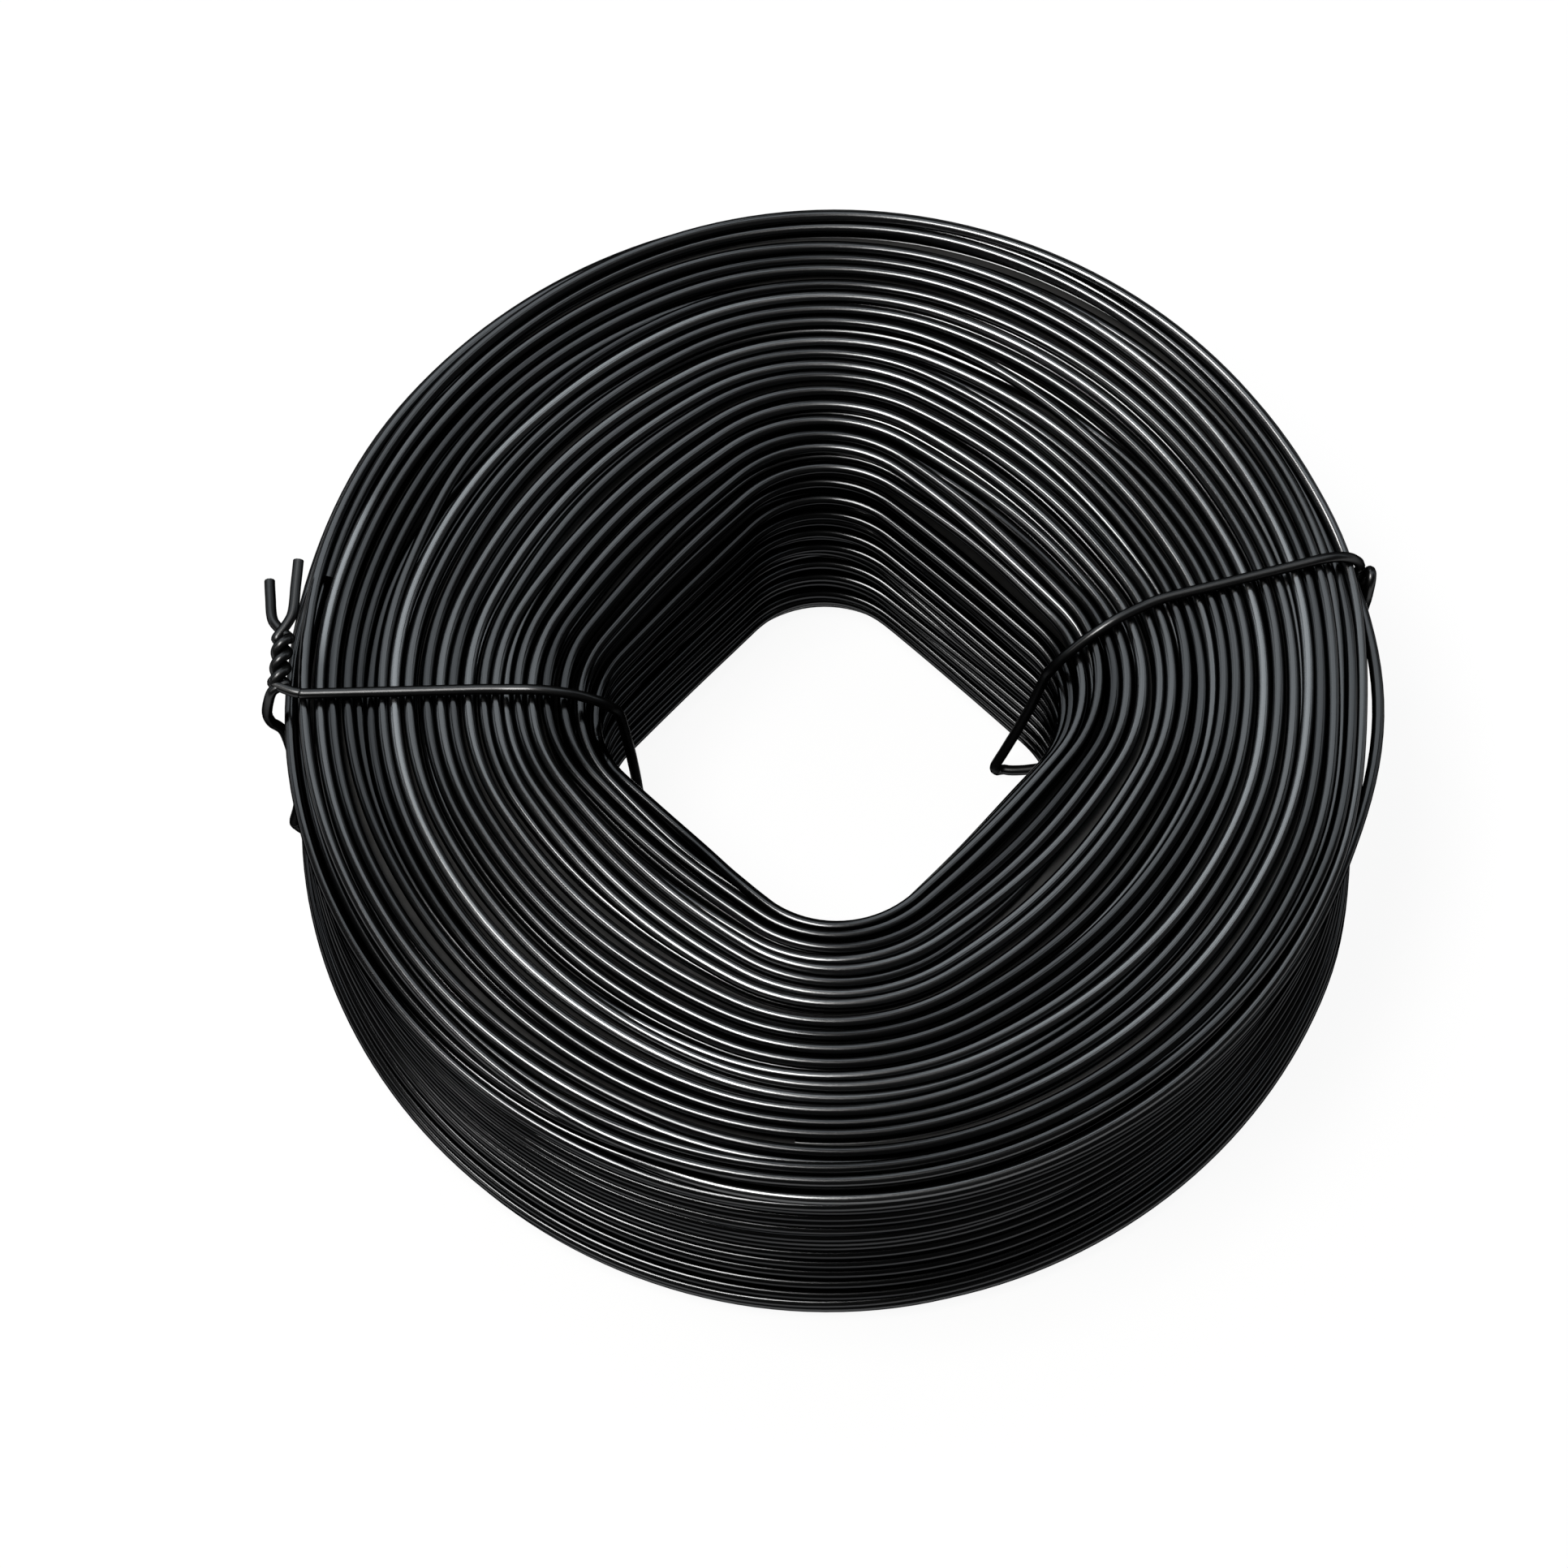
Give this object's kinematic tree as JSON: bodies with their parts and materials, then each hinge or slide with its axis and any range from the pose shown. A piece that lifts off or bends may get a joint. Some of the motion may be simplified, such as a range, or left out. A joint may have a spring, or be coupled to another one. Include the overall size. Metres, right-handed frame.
{
  "type": "coil of tie wire",
  "caption": "Coil of black annealed tie wire wound on a square hub, nearly round outside with an open rounded-square bore, held together by twisted tie wires.",
  "frame": {"origin": "on the coil's axis, on the floor plane that its lowest turns lie on", "axes": "+Z along the coil's axis, upward; X and Y square to the flats of the bore"},
  "size_m": [0.1398, 0.1398, 0.0481],
  "materials": {
    "coil_wire": "black annealed and lightly oiled",
    "tie_wire": "black annealed"
  },
  "bodies": {
    "root": {"wire_coil": "coil_wire", "pigtail_tie": "tie_wire", "folded_tie": "tie_wire"}
  },
  "joints": []
}
